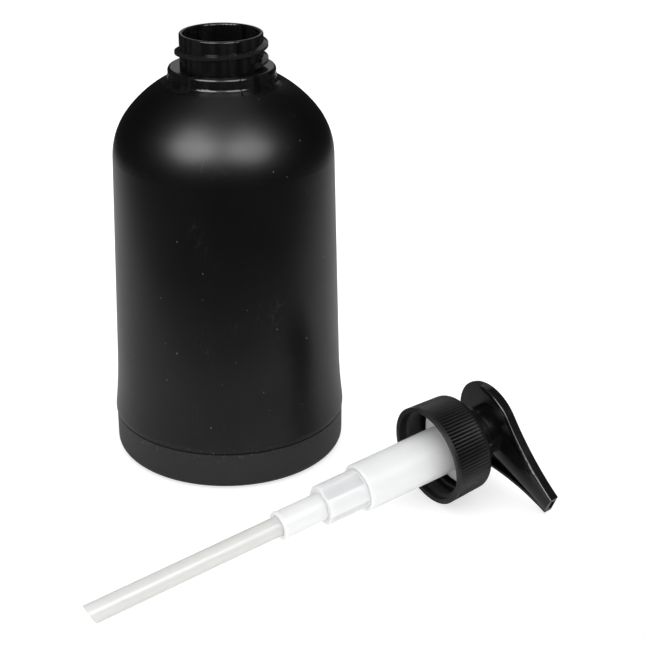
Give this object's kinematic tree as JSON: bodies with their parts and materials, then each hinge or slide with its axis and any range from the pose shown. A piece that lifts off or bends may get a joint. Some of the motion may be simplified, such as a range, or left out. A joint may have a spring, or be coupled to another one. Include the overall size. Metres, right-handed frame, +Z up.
{
  "type": "pump bottle",
  "caption": "Round-shouldered bottle with a threaded neck and its lotion pump lying beside it: ribbed screw closure, paddle head with spout, spring and piston housing, dip tube.",
  "frame": {"origin": "centre of the bottle's base, on the plane that the bottle stands on", "axes": "+Z up along the bottle's axis; +X level along the lying pump, from its dip tube towards its head; +Y away from the pump"},
  "size_m": [0.1396, 0.1344, 0.132],
  "materials": {
    "bottle": "satin",
    "closure": "satin",
    "head": "gloss",
    "housing": "satin",
    "tube": "satin",
    "gasket": "matte",
    "piston": "matte",
    "steel": "bright"
  },
  "bodies": {
    "bottle": {"bottle": "bottle"},
    "pump_body": {"housing": "housing", "collar": "head", "gasket": "gasket", "dip_tube": "tube", "return_spring": "steel"},
    "closure": {"closure": "closure"},
    "piston_slide": {"piston": "piston"},
    "plunger": {"stem": "housing", "piston_retainer": "piston", "actuator_head": "head"},
    "inlet_ball": {"inlet_ball": "steel"},
    "outlet_ball": {"outlet_ball": "steel"}
  },
  "joints": [
    {"name": "pump_lift", "type": "slide", "parent": "bottle", "child": "pump_body", "axis": [0, 0, 1], "range_m": [0, 0.2]},
    {"name": "closure_swivel", "type": "hinge", "parent": "pump_body", "child": "closure", "pos_m": [0.02773, -0.06888, 0.0153], "axis": [0.9937, 0, 0.112], "continuous": true},
    {"name": "pump_stroke", "type": "slide", "parent": "pump_body", "child": "piston_slide", "axis": [0.9937, 0, 0.112], "range_m": [0, 0.016], "deforming": ["return_spring"]},
    {"name": "head_twist", "type": "hinge", "parent": "piston_slide", "child": "plunger", "pos_m": [0.02773, -0.06888, 0.0153], "axis": [0.9937, 0, 0.112], "continuous": true},
    {"name": "inlet_ball_lift", "type": "slide", "parent": "pump_body", "child": "inlet_ball", "axis": [0.9937, 0, 0.112], "range_m": [0, 0.0019]},
    {"name": "outlet_ball_lift", "type": "slide", "parent": "plunger", "child": "outlet_ball", "axis": [0.9937, 0, 0.112], "range_m": [0, 0.0019]}
  ]
}
